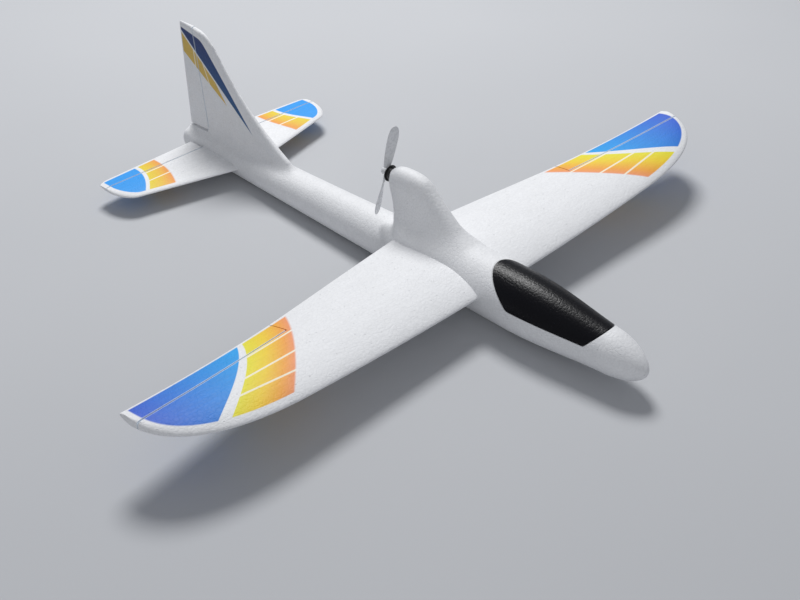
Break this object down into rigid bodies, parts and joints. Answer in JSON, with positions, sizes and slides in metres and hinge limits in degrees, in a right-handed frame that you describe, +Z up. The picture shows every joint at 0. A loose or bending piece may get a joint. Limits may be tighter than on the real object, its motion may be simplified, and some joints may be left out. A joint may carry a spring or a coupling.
{
  "type": "foam hand-launch glider",
  "caption": "Moulded-foam hand-launch glider with a pylon-mounted pusher motor, lift-off canopy over a battery bay, scored control surfaces and a flat belly tray with switch and charge socket.",
  "frame": {"origin": "on the floor under the middle of the length and span, in the plane of the belly tray's flat underside", "axes": "+Z up, nose towards -Y, left wing towards +X"},
  "size_m": [0.4808, 0.4358, 0.1062],
  "materials": {
    "foam": "moulded bead foam, white with printed colour bands",
    "foam_blue": "moulded bead foam, printed blue",
    "canopy_black": "glossy black over bead foam",
    "steel": "satin",
    "black_plastic": "satin",
    "propeller_grey": "glossy",
    "tray_grey": "satin",
    "board_green": "satin",
    "led_red": "clear",
    "cell_silver": "foil pouch",
    "tape": "foam tape",
    "wire_red": "satin",
    "wire_black": "satin"
  },
  "bodies": {
    "airframe": {"fuselage": "foam", "wing": "foam", "tailplane": "foam", "motor_can": "steel", "motor_end_cap": "black_plastic", "motor_sleeve": "black_plastic", "belly_tray": "tray_grey", "circuit_board": "board_green", "switch_body": "steel", "charge_socket": "black_plastic", "power_led": "led_red", "battery_cell": "cell_silver", "battery_tape": "tape", "motor_wire_red": "wire_red", "motor_wire_black": "wire_black", "battery_lead_red": "wire_red", "battery_lead_black": "wire_black"},
    "propeller": {"propeller": "propeller_grey", "motor_shaft": "steel"},
    "rudder": {"rudder": "foam"},
    "elevator_left": {"elevator_left": "foam"},
    "elevator_right": {"elevator_right": "foam"},
    "aileron_left": {"aileron_left": "foam_blue"},
    "aileron_right": {"aileron_right": "foam_blue"},
    "canopy": {"canopy": "canopy_black"},
    "switch_knob": {"switch_knob": "black_plastic"}
  },
  "joints": [
    {"name": "propeller_spin", "type": "hinge", "parent": "airframe", "child": "propeller", "pos_m": [0, -0.006, 0.0656], "axis": [0, 1, 0], "continuous": true},
    {"name": "rudder_hinge", "type": "hinge", "parent": "airframe", "child": "rudder", "pos_m": [0, 0.1888, 0.0254], "axis": [0, 0.0848, 0.9964], "range_deg": [-15, 15]},
    {"name": "elevator_left_hinge", "type": "hinge", "parent": "airframe", "child": "elevator_left", "pos_m": [0.013, 0.1847, 0.01425], "axis": [1, 0, 0], "range_deg": [-15, 15]},
    {"name": "elevator_right_hinge", "type": "hinge", "parent": "airframe", "child": "elevator_right", "pos_m": [-0.013, 0.1847, 0.01425], "axis": [1, 0, 0], "range_deg": [-15, 15]},
    {"name": "aileron_left_hinge", "type": "hinge", "parent": "airframe", "child": "aileron_left", "pos_m": [0.13, -0.05696, 0.03179], "axis": [0.9901, -0.123, 0.068], "range_deg": [-15, 15]},
    {"name": "aileron_right_hinge", "type": "hinge", "parent": "airframe", "child": "aileron_right", "pos_m": [-0.13, -0.05696, 0.03179], "axis": [0.9901, 0.123, -0.068], "range_deg": [-15, 15]},
    {"name": "canopy_lift", "type": "slide", "parent": "airframe", "child": "canopy", "axis": [0, 0, 1], "range_m": [0, 0.03]},
    {"name": "switch_slide", "type": "slide", "parent": "airframe", "child": "switch_knob", "axis": [0, 1, 0], "range_m": [0, 0.002]}
  ]
}
